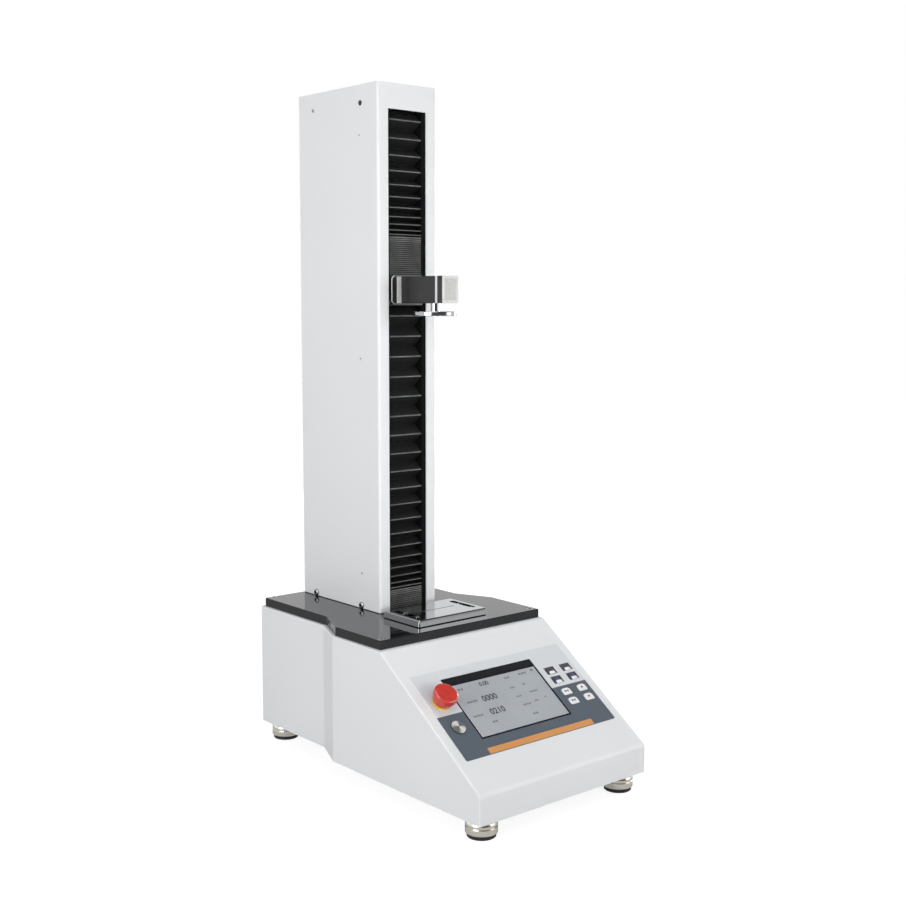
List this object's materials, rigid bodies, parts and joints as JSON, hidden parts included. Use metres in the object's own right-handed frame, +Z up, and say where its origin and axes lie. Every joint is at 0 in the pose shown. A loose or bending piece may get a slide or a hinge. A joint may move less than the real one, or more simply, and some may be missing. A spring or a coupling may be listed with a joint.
{
  "type": "single-column spring and force tester",
  "caption": "Bench tester: motor-driven crosshead with a round platen on a covered screw column, over a polished table on a sloped base with screen, keys and stop button.",
  "frame": {"origin": "on the floor under the middle of the footprint; the load axis passes through it", "axes": "+Z up along the load axis; the control panel faces -Y; +X is on the right of a person who faces the panel"},
  "size_m": [0.29, 0.513, 0.929],
  "materials": {
    "housing_white": "fine powder coat, semi-gloss",
    "plate_black": "high-gloss black coat",
    "chrome": "polished hard chrome",
    "foot_nickel": "turned and nickel plated",
    "rubber_black": "matt",
    "pleat_black": "coated fabric, matt",
    "channel_black": "matt",
    "arm_black": "black anodised look, satin",
    "aluminium": "milled, satin",
    "steel": "ground",
    "motor_dark": "satin",
    "overlay_grey": "printed film, satin",
    "key_white": "satin",
    "screen_glass": "gloss",
    "estop_red": "gloss",
    "estop_yellow": "satin",
    "plastic_black": "fine grain",
    "board_green": "solder resist",
    "stainless": "turned"
  },
  "bodies": {
    "root": {"side_panel_left": "housing_white", "side_panel_right": "housing_white", "front_panel": "housing_white", "rear_panel": "housing_white", "bottom_plate": "steel", "base_plate": "plate_black", "base_posts": "steel", "plate_screws": "chrome", "feet": "foot_nickel", "foot_pads": "rubber_black", "column_cover": "housing_white", "column_rear_cover": "housing_white", "column_frame": "aluminium", "guide_rails": "steel", "lower_bearing_block": "steel", "upper_bearing_block": "steel", "drive_belt": "rubber_black", "drive_motor": "motor_dark", "motor_bracket": "steel", "upper_bellows": "pleat_black", "lower_bellows": "pleat_black", "bellows_guides": "channel_black", "test_table": "chrome", "display_module": "screen_glass", "control_overlay": "overlay_grey", "estop_body": "plastic_black", "estop_collar": "estop_yellow", "power_button_body": "stainless", "keypad_board": "board_green", "control_board": "board_green", "power_supply": "steel", "power_inlet": "plastic_black", "limit_switches": "plastic_black"},
    "screw": {"lead_screw": "steel", "screw_pulley": "aluminium"},
    "rotor": {"motor_shaft": "steel", "motor_pulley": "aluminium"},
    "crosshead": {"carriage": "aluminium", "guide_blocks": "steel", "ball_nut": "steel", "crosshead_plate": "arm_black", "arm": "arm_black", "load_cell": "aluminium", "arm_spacer": "aluminium", "arm_end_block": "arm_black", "arm_front_plate": "aluminium", "stem": "chrome", "platen": "chrome"},
    "estop_plunger": {"estop_plunger": "plastic_black"},
    "estop_head": {"estop_head": "estop_red"},
    "power_button": {"power_button_cap": "stainless"},
    "rocker": {"rocker_switch": "plastic_black"},
    "key_1": {"key_1": "key_white"},
    "key_2": {"key_2": "key_white"},
    "key_3": {"key_3": "key_white"},
    "key_4": {"key_4": "key_white"},
    "key_5": {"key_5": "key_white"},
    "key_6": {"key_6": "key_white"},
    "key_7": {"key_7": "key_white"},
    "key_8": {"key_8": "key_white"}
  },
  "joints": [
    {"name": "screw_turn", "type": "hinge", "parent": "root", "child": "screw", "pos_m": [0, 0.122, 0.24], "axis": [0, 0, 1], "range_deg": [-5220, 12780]},
    {"name": "crosshead_slide", "type": "slide", "parent": "root", "child": "crosshead", "axis": [0, 0, 1], "range_m": [-0.355, 0.145], "deforming": ["upper_bellows", "lower_bellows"]},
    {"name": "motor_turn", "type": "hinge", "parent": "root", "child": "rotor", "pos_m": [0, 0.038, 0.16], "axis": [0, 0, 1], "range_deg": [-10440, 25560]},
    {"name": "estop_push", "type": "slide", "parent": "root", "child": "estop_plunger", "axis": [0, 0.5742, -0.8187], "range_m": [0, 0.004], "stiffness_N_per_m": 1500},
    {"name": "estop_twist", "type": "hinge", "parent": "estop_plunger", "child": "estop_head", "pos_m": [-0.11, -0.15031, 0.15013], "axis": [0, -0.5742, 0.8187], "range_deg": [-45, 0], "stiffness_Nm_per_rad": 0.05},
    {"name": "power_push", "type": "slide", "parent": "root", "child": "power_button", "axis": [0, 0.5742, -0.8187], "range_m": [0, 0.0025], "stiffness_N_per_m": 800},
    {"name": "rocker_tip", "type": "hinge", "parent": "root", "child": "rocker", "pos_m": [-0.062, 0.2515, 0.106], "axis": [1, 0, 0], "range_deg": [0, 16]},
    {"name": "key_1_press", "type": "slide", "parent": "root", "child": "key_1", "axis": [0, 0.5742, -0.8187], "range_m": [0, 0.0005], "stiffness_N_per_m": 3000},
    {"name": "key_2_press", "type": "slide", "parent": "root", "child": "key_2", "axis": [0, 0.5742, -0.8187], "range_m": [0, 0.0005], "stiffness_N_per_m": 3000},
    {"name": "key_3_press", "type": "slide", "parent": "root", "child": "key_3", "axis": [0, 0.5742, -0.8187], "range_m": [0, 0.0005], "stiffness_N_per_m": 3000},
    {"name": "key_4_press", "type": "slide", "parent": "root", "child": "key_4", "axis": [0, 0.5742, -0.8187], "range_m": [0, 0.0005], "stiffness_N_per_m": 3000},
    {"name": "key_5_press", "type": "slide", "parent": "root", "child": "key_5", "axis": [0, 0.5742, -0.8187], "range_m": [0, 0.0005], "stiffness_N_per_m": 3000},
    {"name": "key_6_press", "type": "slide", "parent": "root", "child": "key_6", "axis": [0, 0.5742, -0.8187], "range_m": [0, 0.0005], "stiffness_N_per_m": 3000},
    {"name": "key_7_press", "type": "slide", "parent": "root", "child": "key_7", "axis": [0, 0.5742, -0.8187], "range_m": [0, 0.0005], "stiffness_N_per_m": 3000},
    {"name": "key_8_press", "type": "slide", "parent": "root", "child": "key_8", "axis": [0, 0.5742, -0.8187], "range_m": [0, 0.0005], "stiffness_N_per_m": 3000}
  ],
  "couplings": [
    {"joint": "crosshead_slide", "follows": "screw_turn", "m_per_rad": -0.0015915},
    {"joint": "motor_turn", "follows": "screw_turn", "ratio": 2}
  ]
}
